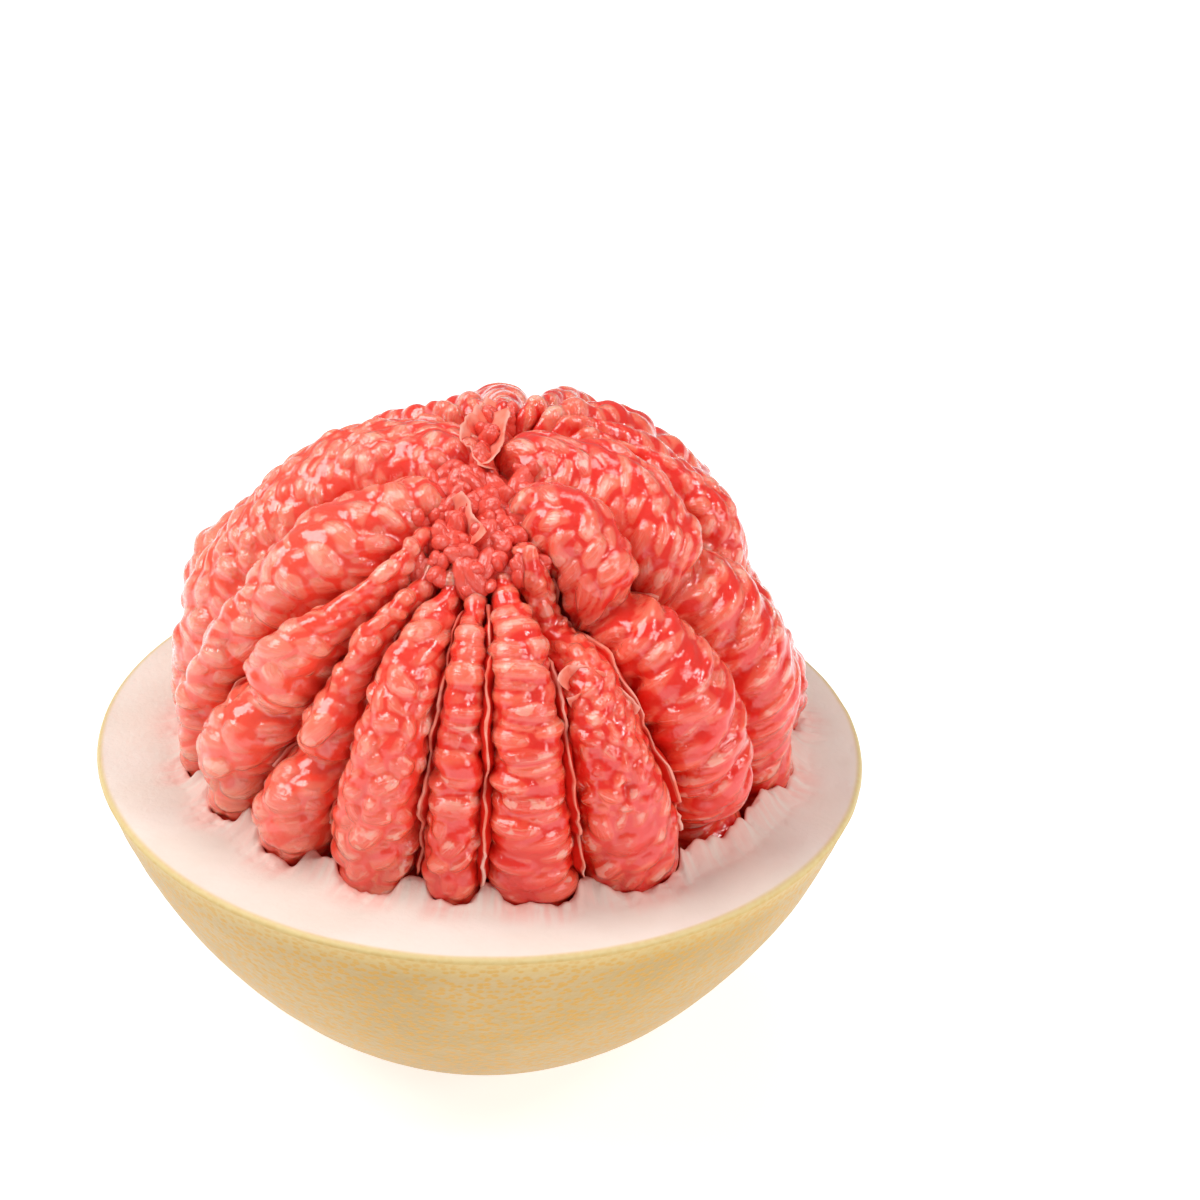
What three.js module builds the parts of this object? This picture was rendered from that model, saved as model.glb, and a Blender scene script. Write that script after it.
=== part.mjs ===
// An opened pomelo: the lower half of the rind, cut open like a bowl, with the peeled flesh standing in it.
// The flesh is 18 juice segments round a hollow core, with the thin walls that part them still in the grooves.
// Millimetres, +Z up, origin on the surface it rests on, in the middle of its outline. -Y is the front.
import * as THREE from "three";

// Rind: half a fruit, wider than it is deep, cut a little slanting, with a small flat spot under it.
const RIM_RADIUS = 80;
const CUT_HEIGHT = 66;
const CUT_SLOPE = Math.tan(THREE.MathUtils.degToRad(2));
const SKIN_EQUATOR = { radius: 85.2, height: 96 };
const SKIN_DEPTH = 101.7;
const SKIN_POWER = 1.82;
const REST_BLEND = 2.5;
const CAVITY_GAP = 1;
const RIND_SIDES = 48;
const RIND_RINGS = { skin: 9, rim: 2, cavity: 12 };
// The skin's rings crowd towards the bottom, where the first one bounds the flat spot.
const SKIN_SPACING = 1.43;

// Flesh: the ball that the segments fill. Its own axis leans to the front and a little to the left.
const FLESH_RADIUS = 66.5;
const FLESH_UP = 57;
const FLESH_DOWN = 64;
const FLESH_OFF_RIND = { x: 2, y: 3, z: 16.5 };
const LEAN_FRONT = THREE.MathUtils.degToRad(17);
const LEAN_LEFT = THREE.MathUtils.degToRad(2.5);
const CORE_RADIUS = 6.5;
// The backs dip a little round the top. A segment's two ends are rounded off over an angle, to a point that lies
// TIP_SHARE of the way from its inner edge to its back. The inner edge follows the core, and near the ends it lies
// no further out than CORE_SHARE of the way to the back.
const TOP_DIP = { depth: 3, reach: 10 };
const BOTTOM_END = 166;
const END_ROUND = 6;
const TIP_SHARE = 0.6;
const CORE_SHARE = 0.6;
// Angles above the rim between which a bulge fades in, and where the search for the rim starts.
const BULGE_FADE = [-1, 6];
const RIM_SEARCH = { from: 60, step: 0.5 };

// Gaps: each segment stops short of the wall's middle plane, which leaves room for the wall. Near its top end there
// is no wall, and it comes closer to its neighbours.
const WALL_THICKNESS = 0.8;
const SEGMENT_INSET = 0.8;
const TOP_INSET = 0.35;
const CROWDED_OVER = [2, 8];
const THINNEST_EDGE = 0.3;

// Juice sacs show as ribs across each segment's back, a crest on every second ring.
const RIB_STEP = 4;
const RIB_HEIGHT = 0.8;
const HIDDEN_RINGS = 5;
// Half of a segment's cross-section, as shares of the way from the core to the ridge of its back.
const SECTION = [1, 0.98, 0.91, 0.74, 0];

// Longitude of the boundaries between segments, in degrees from the front towards +X, at five angles from the top.
const LATITUDES = [15, 25, 40, 60, 85];
const FRONT_BOUNDARIES = [
  [-186, -162, -134, -113, -102],
  [-106, -99, -87, -81, -80],
  [-50, -46, -56, -66, -68],
  [-36, -34, -42, -46, -51],
  [-23, -23, -31, -32, -34],
  [-9, -9, -12, -14, -15],
  [3, 2, 0, -1, -3],
  [17, 17, 19, 16, 15],
  [32, 33, 35, 34, 36],
  [82, 75, 62, 60, 57],
  [166, 132, 100, 84, 81],
];
const BACK_SEGMENTS = 8;
const SEGMENT_COUNT = BACK_SEGMENTS + FRONT_BOUNDARIES.length - 1;

// Each segment: the angle from the top where it starts, how squarely its back is rounded, and the back's bulges and
// creases as [angle, height, reach].
const FRONT_BACKS = [
  { top: 7, power: 8, swells: [[36, 3, 13], [82, -1, 12]] },
  { top: 6, power: 8, swells: [[36, 4, 14], [75, 1, 12]] },
  { top: 13, power: 9, swells: [[50, 3, 7], [63, -4, 3], [75, 3, 7]] },
  { top: 15, power: 12, swells: [[26, -4, 8], [50, -3, 12], [68, -6, 4], [82, 2, 6]] },
  { top: 17, power: 14, swells: [[26, -6, 9], [60, 1, 14]] },
  { top: 18, power: 20, swells: [[26, -7, 9], [60, -2, 20]] },
  { top: 18, power: 20, swells: [[24, -6, 10]] },
  { top: 16, power: 15, swells: [[36, -12, 9], [72, 1, 12]] },
  { top: 6, power: 8, swells: [[22, 5, 11], [40, -7, 3.2], [64, 3, 14], [93, -7, 5]] },
  { top: 8, power: 8, swells: [[33, 3, 11], [48, -5, 3], [67, 2, 12], [93, -3, 8]] },
];
const BACK_TOP = 24;
const BACK_POWER = { least: 11, more: 2 };
// Bulges and creases of the back segments: each one's angle sways from segment to segment, and its height grows by
// "more" over three of them.
const BACK_SWELLS = [
  { at: 46, sway: 7, turn: 2.4, start: 0, height: 1.5, more: 0, reach: 11 },
  { at: 66, sway: 8, turn: 1.7, start: 1, height: -3, more: -1, reach: 3.4 },
  { at: 88, sway: 6, turn: 2.1, start: Math.PI / 2, height: 2, more: 0, reach: 12 },
];
// Places where a back segment lies lower than its rule gives, by segment.
const BACK_DENTS = {
  10: [[66, -5, 8], [84, -7, 14]],
  11: [[56, -4, 12], [84, -10, 14]],
  12: [[74, -3, 10]],
  13: [[54, -2, 9]],
  14: [[46, -3, 14]],
  15: [[50, -6, 15]],
  16: [[55, -6, 15]],
  17: [[38, -5, 10], [56, -4, 12]],
};

// Outer edge of each wall, measured in from the segments' backs: those in the front stand nearly as high.
const WALL_INSET = 7;
const FRONT_WALL_INSET = 3;
const TALL_WALLS = [5, 6, 7, 8];
const WALL_CORE_GAP = 6.5;
const WALL_LEAST_HEIGHT = 1;
// A wall starts below the tops of both its segments. Its steps crowd towards the top, where it bends most.
const WALL_BELOW_TOP = 10;
const WALL_BOTTOM = 158;
const WALL_STEPS = 14;
const WALL_SPACING = 1.6;

const PITH = new THREE.MeshStandardMaterial({ color: 0xf7e6da, roughness: 0.75, metalness: 0 });
const FLESH = new THREE.MeshStandardMaterial({ color: 0xe0564a, roughness: 0.25, metalness: 0 });
const WALL = new THREE.MeshStandardMaterial({ color: 0xf3b5a8, roughness: 0.4, metalness: 0 });

const rad = THREE.MathUtils.degToRad;

// Smooth curve through the values given at LATITUDES, level beyond both ends.
function alongLatitudes(values, angle) {
  const last = LATITUDES.length - 1;
  if (angle <= LATITUDES[0]) return values[0];
  if (angle >= LATITUDES[last]) return values[last];
  const i = LATITUDES.findIndex((a, k) => k < last && angle < LATITUDES[k + 1]);
  const slope = (k) =>
    k <= 0 || k >= last ? 0 : (values[k + 1] - values[k - 1]) / (LATITUDES[k + 1] - LATITUDES[k - 1]);
  const span = LATITUDES[i + 1] - LATITUDES[i];
  const t = (angle - LATITUDES[i]) / span;
  return (
    values[i] * (1 + 2 * t) * (1 - t) ** 2 +
    slope(i) * span * t * (1 - t) ** 2 +
    values[i + 1] * t * t * (3 - 2 * t) +
    slope(i + 1) * span * t * t * (t - 1)
  );
}

// Longitude of boundary b: the front ones as given, the back ones spread evenly between the outermost two.
function boundary(b, angle) {
  const front = FRONT_BOUNDARIES.length - 1;
  if (b <= front) return alongLatitudes(FRONT_BOUNDARIES[b], angle);
  const right = alongLatitudes(FRONT_BOUNDARIES[front], angle);
  const left = alongLatitudes(FRONT_BOUNDARIES[0], angle) + 360;
  return right + ((b - front) * (left - right)) / BACK_SEGMENTS;
}

// The front segments' backs as given, and the back ones' by their rule, with their dents.
function backOf(segment) {
  const k = segment - FRONT_BACKS.length;
  if (k < 0) return FRONT_BACKS[segment];
  const third = k % 3;
  const swells = BACK_SWELLS.map(({ at, sway, turn, start, height, more, reach }) => [
    at + sway * Math.sin(turn * k + start),
    height + more * third,
    reach,
  ]);
  const dents = BACK_DENTS[segment] ?? [];
  return { top: BACK_TOP, power: BACK_POWER.least + BACK_POWER.more * third, swells: [...swells, ...dents] };
}

function skinRadius(height) {
  const part = Math.abs((height - SKIN_EQUATOR.height) / SKIN_DEPTH) ** SKIN_POWER;
  return SKIN_EQUATOR.radius * Math.max(0, 1 - part) ** (1 / SKIN_POWER);
}

// Lifts the round underside to z = 0 with a soft edge, which leaves the flat spot.
function rested(height) {
  if (height >= REST_BLEND) return height;
  if (height <= -REST_BLEND) return 0;
  return (height + REST_BLEND) ** 2 / (4 * REST_BLEND);
}

const cutHeight = (x) => CUT_HEIGHT - CUT_SLOPE * x;
// The slanting cut makes the left of the rim wider, so the rind's axis moves right to centre the outline.
const RIND_AXIS = (skinRadius(cutHeight(-RIM_RADIUS)) - skinRadius(cutHeight(RIM_RADIUS))) / 2;
const FLESH_CENTRE = new THREE.Vector3(
  RIND_AXIS + FLESH_OFF_RIND.x,
  FLESH_OFF_RIND.y,
  CUT_HEIGHT + FLESH_OFF_RIND.z,
);

// Distance from the flesh's centre to the ball's surface in a direction.
function ballRadius(direction) {
  const vertical = direction.z > 0 ? FLESH_UP : FLESH_DOWN;
  return 1 / Math.hypot(direction.x / FLESH_RADIUS, direction.y / FLESH_RADIUS, direction.z / vertical);
}

// The flesh's own axes: up its core, to the front, and to the right.
const fleshUp = new THREE.Vector3(-Math.tan(LEAN_LEFT), -Math.tan(LEAN_FRONT), 1).normalize();
const fleshFront = new THREE.Vector3(0, -1, 0).projectOnPlane(fleshUp).normalize();
const fleshRight = new THREE.Vector3().crossVectors(fleshUp, fleshFront);

function fleshDirection(angle, longitude) {
  const t = rad(angle);
  const p = rad(longitude);
  return new THREE.Vector3()
    .addScaledVector(fleshUp, Math.cos(t))
    .addScaledVector(fleshFront, Math.sin(t) * Math.cos(p))
    .addScaledVector(fleshRight, Math.sin(t) * Math.sin(p));
}

// Angle from the top at which a longitude passes the rim.
function rimAngle(longitude) {
  let angle = RIM_SEARCH.from;
  const above = (a) => {
    const direction = fleshDirection(a, longitude);
    const point = direction.multiplyScalar(ballRadius(direction)).add(FLESH_CENTRE);
    return point.z > cutHeight(point.x);
  };
  while (above(angle)) angle += RIM_SEARCH.step;
  return angle;
}

// Height of a segment's back over the ball, faded out where it dips below the rim.
function swell(segment, angle, rim) {
  const dip = -TOP_DIP.depth * Math.exp(-((angle / TOP_DIP.reach) ** 2));
  const sum = backOf(segment).swells.reduce(
    (total, [at, height, reach]) => total + height * Math.exp(-(((angle - at) / reach) ** 2)),
    0,
  );
  const shown = THREE.MathUtils.smoothstep(rim - angle, ...BULGE_FADE);
  return dip + (sum > 0 ? sum * shown : sum);
}

// Moves each vertex of a sphere mesh to place(step, ring). The last step meets the first, so the surface is closed.
function warpedSphere(around, rings, place) {
  const geometry = new THREE.SphereGeometry(1, around, rings);
  const position = geometry.getAttribute("position");
  for (let i = 0; i < position.count; i++) {
    const ring = Math.floor(i / (around + 1));
    const step = (i % (around + 1)) % around;
    const point = place(step, ring);
    position.setXYZ(i, point.x, point.y, point.z);
  }
  geometry.deleteAttribute("uv");
  geometry.deleteAttribute("normal");
  return geometry;
}

// Size of a segment's section against its full size: 0 at both ends, rising in a round curve to 1.
function endSize(segment, angle) {
  const fromEnd = Math.min(angle - backOf(segment).top, BOTTOM_END - angle) / END_ROUND;
  return Math.sqrt(1 - (1 - THREE.MathUtils.clamp(fromEnd, 0, 1)) ** 2);
}

function segmentMesh(segment) {
  const { top, power } = backOf(segment);
  const middle = (angle) => (boundary(segment, angle) + boundary(segment + 1, angle)) / 2;
  const rim = rimAngle(middle(90));
  const shownRings = Math.round((rad(rim - top) * FLESH_RADIUS) / RIB_STEP);
  const rings = shownRings + HIDDEN_RINGS;
  const around = 2 * SECTION.length - 1;

  const angleOf = (ring) =>
    ring <= shownRings
      ? top + ((rim - top) * ring) / shownRings
      : rim + ((BOTTOM_END - rim) * (ring - shownRings)) / HIDDEN_RINGS;

  // Section round one ring: step 0 on the ridge, then down one side to the core and back up the other.
  const place = (step, ring) => {
    const angle = angleOf(ring);
    const longitude = middle(angle);
    const half = rad(boundary(segment + 1, angle) - boundary(segment, angle)) / 2;
    const sine = Math.sin(rad(angle));
    const rib = ring < shownRings ? (ring % 2 ? RIB_HEIGHT : -RIB_HEIGHT) : 0;
    const outer = ballRadius(fleshDirection(angle, longitude)) + swell(segment, angle, rim) + rib;
    const inner = Math.min(CORE_RADIUS / sine, CORE_SHARE * outer);
    const side = step < SECTION.length ? 1 : -1;
    const share = SECTION[step < SECTION.length ? step : around - step];
    const size = endSize(segment, angle);
    const along = inner + (TIP_SHARE + (share - TIP_SHARE) * size) * (outer - inner);
    const crowded = THREE.MathUtils.smoothstep(angle - top, ...CROWDED_OVER);
    const inset = TOP_INSET + (SEGMENT_INSET - TOP_INSET) * crowded;
    const wedge = Math.max(THINNEST_EDGE, along * sine * Math.tan(half) - inset);
    const width = size * wedge * Math.sqrt(1 - share ** power);
    const turn = THREE.MathUtils.radToDeg(Math.atan(width / (along * sine)));
    return fleshDirection(angle, longitude + side * turn).multiplyScalar(along).add(FLESH_CENTRE);
  };
  const mesh = new THREE.Mesh(warpedSphere(around, rings, place), FLESH);
  mesh.name = `segment_${String(segment + 1).padStart(2, "0")}`;
  return mesh;
}

// A wall is a thin crescent on the boundary between two segments.
function wallMesh(b) {
  const geometry = new THREE.BoxGeometry(1, 1, 1, WALL_STEPS, 1, 1);
  const position = geometry.getAttribute("position");
  const rim = rimAngle(boundary(b, 90));
  const inset = TALL_WALLS.includes(b) ? FRONT_WALL_INSET : WALL_INSET;
  const before = (b + SEGMENT_COUNT - 1) % SEGMENT_COUNT;
  const top = Math.max(backOf(before).top, backOf(b).top) + WALL_BELOW_TOP;
  for (let i = 0; i < position.count; i++) {
    const down = (0.5 - position.getX(i)) ** WALL_SPACING;
    const angle = top + (WALL_BOTTOM - top) * down;
    const longitude = boundary(b, angle);
    const sine = Math.sin(rad(angle));
    const lower = Math.min(swell(before, angle, rim), swell(b, angle, rim), 0);
    const outer = ballRadius(fleshDirection(angle, longitude)) + lower - inset;
    const inner = (CORE_RADIUS + WALL_CORE_GAP) / sine;
    const height = Math.max(outer - inner, WALL_LEAST_HEIGHT);
    const along = inner + height * (position.getY(i) + 0.5);
    const turn = THREE.MathUtils.radToDeg((position.getZ(i) * WALL_THICKNESS) / (along * sine));
    const point = fleshDirection(angle, longitude + turn).multiplyScalar(along).add(FLESH_CENTRE);
    position.setXYZ(i, point.x, point.y, point.z);
  }
  const mesh = new THREE.Mesh(geometry, WALL);
  mesh.name = `wall_${String(b + 1).padStart(2, "0")}`;
  return mesh;
}

// One closed surface: up the skin from the flat spot, over the rim, and down the cavity to its middle.
function rindMesh() {
  const { skin, rim, cavity } = RIND_RINGS;
  const rings = skin + rim + cavity;

  const skinPoint = (share, x, y) => {
    const edge = cutHeight(x * RIM_RADIUS);
    const lowest = SKIN_EQUATOR.height - SKIN_DEPTH;
    const height = lowest + (edge - lowest) * share ** SKIN_SPACING;
    const radius = skinRadius(height);
    return new THREE.Vector3(RIND_AXIS + x * radius, y * radius, rested(height));
  };
  const cavityPoint = (share, x, y) => {
    const depth = FLESH_DOWN + CAVITY_GAP;
    const rimTurn = Math.asin((FLESH_CENTRE.z - cutHeight(FLESH_CENTRE.x + x * FLESH_RADIUS)) / depth);
    const turn = rimTurn + (Math.PI / 2 - rimTurn) * share;
    const radius = (FLESH_RADIUS + CAVITY_GAP) * Math.cos(turn);
    return new THREE.Vector3(x * radius, y * radius, -depth * Math.sin(turn)).add(FLESH_CENTRE);
  };
  const place = (step, ring) => {
    const turn = (2 * Math.PI * step) / RIND_SIDES;
    const x = Math.cos(turn);
    const y = -Math.sin(turn);
    if (ring <= skin) return skinPoint(ring / skin, x, y);
    if (ring >= skin + rim) return cavityPoint((ring - skin - rim) / cavity, x, y);
    return skinPoint(1, x, y).lerp(cavityPoint(0, x, y), (ring - skin) / rim);
  };
  const mesh = new THREE.Mesh(warpedSphere(RIND_SIDES, rings, place), PITH);
  mesh.name = "rind_half";
  return mesh;
}

const pomelo = new THREE.Group();
pomelo.add(rindMesh());
for (let i = 0; i < SEGMENT_COUNT; i++) {
  pomelo.add(segmentMesh(i));
  pomelo.add(wallMesh(i));
}
export default pomelo;
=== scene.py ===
"""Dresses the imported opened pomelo.

Each juice segment is rebuilt from the part's own rule, with its juice sacs raised on it. The rind gets its cut pith
and pored skin, and the walls between the segments become thin ragged skins. Shapes are worked out in millimetres in
the part's frame (+Z up, -Y the front) and turned to metres when a mesh is made.
"""

import math

import bpy
import numpy as np
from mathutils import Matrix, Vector


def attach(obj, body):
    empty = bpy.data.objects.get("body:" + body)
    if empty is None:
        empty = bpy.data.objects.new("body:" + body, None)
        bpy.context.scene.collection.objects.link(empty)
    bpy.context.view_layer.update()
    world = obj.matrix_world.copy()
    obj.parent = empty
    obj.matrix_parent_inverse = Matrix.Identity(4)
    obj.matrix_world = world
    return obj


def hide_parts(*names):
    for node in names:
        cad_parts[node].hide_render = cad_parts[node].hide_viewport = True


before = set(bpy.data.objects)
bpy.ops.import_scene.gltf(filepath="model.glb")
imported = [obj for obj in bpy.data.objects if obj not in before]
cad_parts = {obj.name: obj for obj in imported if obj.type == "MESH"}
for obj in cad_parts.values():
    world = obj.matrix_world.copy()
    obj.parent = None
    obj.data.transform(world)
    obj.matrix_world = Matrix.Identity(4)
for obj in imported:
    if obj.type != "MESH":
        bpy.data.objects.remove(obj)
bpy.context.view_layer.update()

MM = 0.001
SEED = 7

# Camera, fitted to the photograph: it looks down at the middle of the cut rim from the front.
RIM_HEIGHT_MM = 66
CAMERA_DISTANCE_MM = 900
CAMERA_ELEVATION = math.radians(31.74)
CAMERA_TURN = math.radians(1.87)
CAMERA_TILT = math.radians(1.89)
SENSOR_MM = 36
LENS_MM = 128.7

# Softboxes: where each stands, in metres from the rim's middle, its size in metres, and its power in watts.
SOFTBOXES = {
    "key": ((-0.70, -0.05, 0.90), 0.80, 11.0),
    "top": ((0.20, 0.35, 1.00), 0.45, 2.4),
    "front": ((0.88, -0.78, 0.50), 0.50, 3.8),
    "glint": ((0.75, -0.35, 0.85), 0.30, 3.0),
}
WORLD_STRENGTH = 0.24
FLOOR_GLOW = 0.70
FLOOR_HALF = 4.0

# Colours, as linear red, green, blue and alpha.
SAC_RED = (0.80, 0.042, 0.018, 1)
SAC_CORAL = (0.92, 0.135, 0.068, 1)
SAC_MOTTLE = (0.87, 0.070, 0.031, 1)
# Pale streaks along the sacs: partly their own vein lines, partly painted highlight.
SAC_VEIN_AND_HIGHLIGHT = (0.96, 0.44, 0.32, 1)
# Pale pink painted as highlight patches on the sacs' tops.
SAC_PAINTED_HIGHLIGHT = (0.97, 0.52, 0.41, 1)
# Pale coral painted as light on the flesh's left and top, where the key light falls.
SAC_PAINTED_LIGHT = (0.97, 0.42, 0.29, 1)
# Dark red painted as shade in the creases and low places between the sacs, less dark on the left where the key light
# falls.
CREASE_PAINTED_SHADE = (0.80, 0.018, 0.010, 1)
CREASE_PAINTED_SHADE_LIT = (0.93, 0.095, 0.050, 1)
PITH_WHITES = ((0.80, 0.71, 0.62, 1), (0.83, 0.75, 0.67, 1))
PITH_BLUSH = (0.85, 0.53, 0.46, 1)
PITH_AT_FLESH = (0.84, 0.34, 0.27, 1)
PITH_AT_SKIN = (0.83, 0.68, 0.40, 1)
SKIN_YELLOWS = ((0.50, 0.335, 0.127, 1), (0.57, 0.40, 0.18, 1))
SKIN_NEAR_RIM = (0.72, 0.52, 0.19, 1)
SKIN_PORE = (0.64, 0.33, 0.035, 1)
SKIN_EDGE = (0.86, 0.72, 0.40, 1)
WALL_PINKS = ((0.90, 0.17, 0.10, 1), (0.93, 0.32, 0.23, 1))
# Dark red painted as shade on the walls' lower parts in the grooves.
WALL_GROOVE_SHADE = (0.80, 0.026, 0.013, 1)
WALL_PALE = (0.95, 0.52, 0.43, 1)
FLOOR_GREYS = ((0.59, 0.59, 0.59, 1), (0.62, 0.62, 0.62, 1))

# The part's own rule for the rind and the flesh, in millimetres.
RIM_RADIUS = 80
CUT_HEIGHT = 66
CUT_SLOPE = math.tan(math.radians(2))
SKIN_EQUATOR_RADIUS = 85.2
SKIN_EQUATOR_HEIGHT = 96
SKIN_DEPTH = 101.7
SKIN_POWER = 1.82
SKIN_SPACING = 1.43
REST_BLEND = 2.5
CAVITY_GAP = 1
FLESH_RADIUS = 66.5
FLESH_UP = 57
FLESH_DOWN = 64
FLESH_OFF_RIND = (2, 3, 16.5)
LEAN_FRONT = math.radians(17)
LEAN_LEFT = math.radians(2.5)
CORE_RADIUS = 6.5
TOP_DIP = 3
TOP_DIP_REACH = 10
BOTTOM_END = 166
END_ROUND = 6
TIP_SHARE = 0.6
CORE_SHARE = 0.6
SEGMENT_INSET = 0.8
TOP_INSET = 0.35
CROWDED_OVER = (2, 8)
THINNEST_EDGE = 0.3
LATITUDES = np.array([15, 25, 40, 60, 85], float)
FRONT_BOUNDARIES = [
    [-186, -162, -134, -113, -102],
    [-106, -99, -87, -81, -80],
    [-50, -46, -56, -66, -68],
    [-36, -34, -42, -46, -51],
    [-23, -23, -31, -32, -34],
    [-9, -9, -12, -14, -15],
    [3, 2, 0, -1, -3],
    [17, 17, 19, 16, 15],
    [32, 33, 35, 34, 36],
    [82, 75, 62, 60, 57],
    [166, 132, 100, 84, 81],
]
# Each front segment: the angle where it starts, how squarely its back is rounded, and its bulges and creases as
# (angle, height, reach).
FRONT_BACKS = [
    (7, 8, [(36, 3, 13), (82, -1, 12)]),
    (6, 8, [(36, 4, 14), (75, 1, 12)]),
    (13, 9, [(50, 3, 7), (63, -4, 3), (75, 3, 7)]),
    (15, 12, [(26, -4, 8), (50, -3, 12), (68, -6, 4), (82, 2, 6)]),
    (17, 14, [(26, -6, 9), (60, 1, 14)]),
    (18, 20, [(26, -7, 9), (60, -2, 20)]),
    (18, 20, [(24, -6, 10)]),
    (16, 15, [(36, -12, 9), (72, 1, 12)]),
    (6, 8, [(22, 5, 11), (40, -7, 3.2), (64, 3, 14), (93, -7, 5)]),
    (8, 8, [(33, 3, 11), (48, -5, 3), (67, 2, 12), (93, -3, 8)]),
]
BACK_TOP = 24
BACK_POWER = (11, 2)
# The back segments' bulges and creases: (angle, sway, turn, start, height, growth of the height, reach).
BACK_SWELLS = [
    (46, 7, 2.4, 0, 1.5, 0, 11),
    (66, 8, 1.7, 1, -3, -1, 3.4),
    (88, 6, 2.1, math.pi / 2, 2, 0, 12),
]
BACK_DENTS = {
    10: [(66, -5, 8), (84, -7, 14)],
    11: [(56, -4, 12), (84, -10, 14)],
    12: [(74, -3, 10)],
    13: [(54, -2, 9)],
    14: [(46, -3, 14)],
    15: [(50, -6, 15)],
    16: [(55, -6, 15)],
    17: [(38, -5, 10), (56, -4, 12)],
}
BACK_SEGMENTS = 8
SEGMENT_COUNT = BACK_SEGMENTS + len(FRONT_BOUNDARIES) - 1

# Mesh fineness, in millimetres between vertices on what shows.
FINE_STEP = 0.58
BACK_STEP = 0.72

# Juice sacs: spacing down and across a segment's back, half length and half width of a sac, its height, the turn of
# its long side from straight across and how much that turn varies, in millimetres and degrees.
STYLES = {
    "lens": dict(down=4.5, across=15, long=9.5, wide=2.75, high=2.4, turn=3, vary=5),
    "ribs": dict(down=4.1, across=14, long=9.5, wide=2.55, high=2.5, turn=-16, vary=7),
    "bold": dict(down=5.0, across=7.8, long=5.7, wide=3.2, high=2.8, turn=-20, vary=26),
    "pebbly": dict(down=4.0, across=5.3, long=3.7, wide=2.6, high=2.4, turn=0, vary=60),
    "crushed": dict(down=3.2, across=4.6, long=3.2, wide=1.9, high=2.5, turn=0, vary=85),
}
# The style of each segment's sacs from the top down: (angle where it starts, style).
SEGMENT_STYLES = [
    [(0, "pebbly"), (60, "bold")],
    [(0, "bold")],
    [(0, "pebbly"), (42, "bold")],
    [(0, "pebbly"), (55, "bold")],
    [(0, "bold"), (48, "pebbly"), (72, "bold")],
    [(0, "lens"), (70, "pebbly")],
    [(0, "lens")],
    [(0, "crushed"), (74, "bold")],
    [(0, "bold"), (39, "ribs")],
    [(0, "bold"), (48, "ribs")],
    [(0, "pebbly")],
    [(0, "ribs"), (60, "bold")],
    [(0, "bold")],
    [(0, "pebbly"), (50, "ribs")],
    [(0, "lens")],
    [(0, "bold"), (60, "pebbly")],
    [(0, "ribs")],
    [(0, "pebbly"), (66, "bold")],
]
# Heights of the sacs' feet over the body, for an upper layer and a lower one that fills the gaps between its sacs,
# and how far down a segment each layer starts.
SAC_LAYERS = (-1.0, -1.7)
SAC_STARTS = (1.0, 2.6)
# How far the sacs reach inward and below the rim, how soft their edges are, and how creases are rounded and coloured
# with painted shade.
SAC_DEPTH = 13
SAC_BELOW_RIM = 14
SAC_SOFT = 0.03
CREASE_ROUND = 0.28
CREASE_REACH = 0.8

# A segment's body: its soft lumps, the samples of its half section, the length across it that gets fine steps, the
# coarse steps beyond that, and the rings on its hidden lower end.
BODY_LUMP = 0.9
BODY_LUMP_SIZE = 16
SECTION_SAMPLES = (260, 160)
FINE_ACROSS = 24
COARSE_STEPS = 4
HIDDEN_RINGS = 10

# Loose sacs heaped at the crown and in the gap behind it: (how many, angles, longitudes, depths below the ball,
# shade), with half length and half width of one, and its rings and points around.
LOOSE_SACS = [
    (70, (2, 17), (-62, 52), (4.0, 7.5), 0.4),
    (60, (14, 26), (-44, 30), (4.5, 7.5), 0.4),
    (40, (0, 13), (60, 300), (3.0, 6.5), 0.6),
    (30, (12, 32), (163, 177), (3.0, 7.0), 0.6),
]
LOOSE_LONG = 4.4
LOOSE_WIDE = 2.4
LOOSE_RINGS = 9
LOOSE_AROUND = 10

# The bed of flesh under them: its reach from the crown, its depth below the ball, how much deeper its edge lies and
# from which angle, its thickness, its lumps, and the rings on its top and underside and the points around.
BED_ANGLE = 26
BED_DEPTH = 7
BED_DROP = 5
BED_DROP_FROM = 14
BED_THICKNESS = 6
BED_LUMP = 1.2
BED_LUMP_SIZE = 3.5
BED_RINGS = (40, 8)
BED_AROUND = 120

# Torn strips of skin on the flesh: the path of each as (angle, longitude), how far below the ball its edge lies, its
# height, how much it waves and how far it leans over.
STRIPS = {
    "crown_skin_a": ([(1, 179), (6, 191), (13, 193), (22, 182), (31, 176)], -0.4, 6.0, 0.8, 3.0),
    "crown_skin_b": ([(3, 140), (9, 155), (16, 160), (25, 166)], -0.2, 5.5, 0.8, -3.0),
    "crown_skin_c": ([(6, -40), (8, -18), (12, -6), (16, 3)], 0.4, 6.0, 0.9, 2.5),
    "flap_skin_a": ([(47, 17), (45, 21), (46, 26), (51, 31), (57, 34)], 1.0, 6.0, 1.0, 3.0),
    "flap_skin_b": ([(50, 18), (49, 22), (50, 27), (56, 31)], 2.0, 5.0, 1.2, 3.0),
}

# Walls, by the part's own rule, then their finer skins: how far each one's edge lies below the backs, how much deeper
# it is where it meets the rind, how much that edge is torn and frayed, and how far the skin waves.
WALL_CORE_GAP = 6.5
WALL_BELOW_TOP = 10
WALL_BOTTOM = 158
WALL_INSETS = {5: 2.8, 6: 1.0, 7: 2.4, 8: 3.2}
WALL_INSET = 6.5
WALL_MERGE = 2.5
WALL_TEAR = 3.0
WALL_FRAY = 0.5
WALL_WAVE = 0.7
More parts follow.
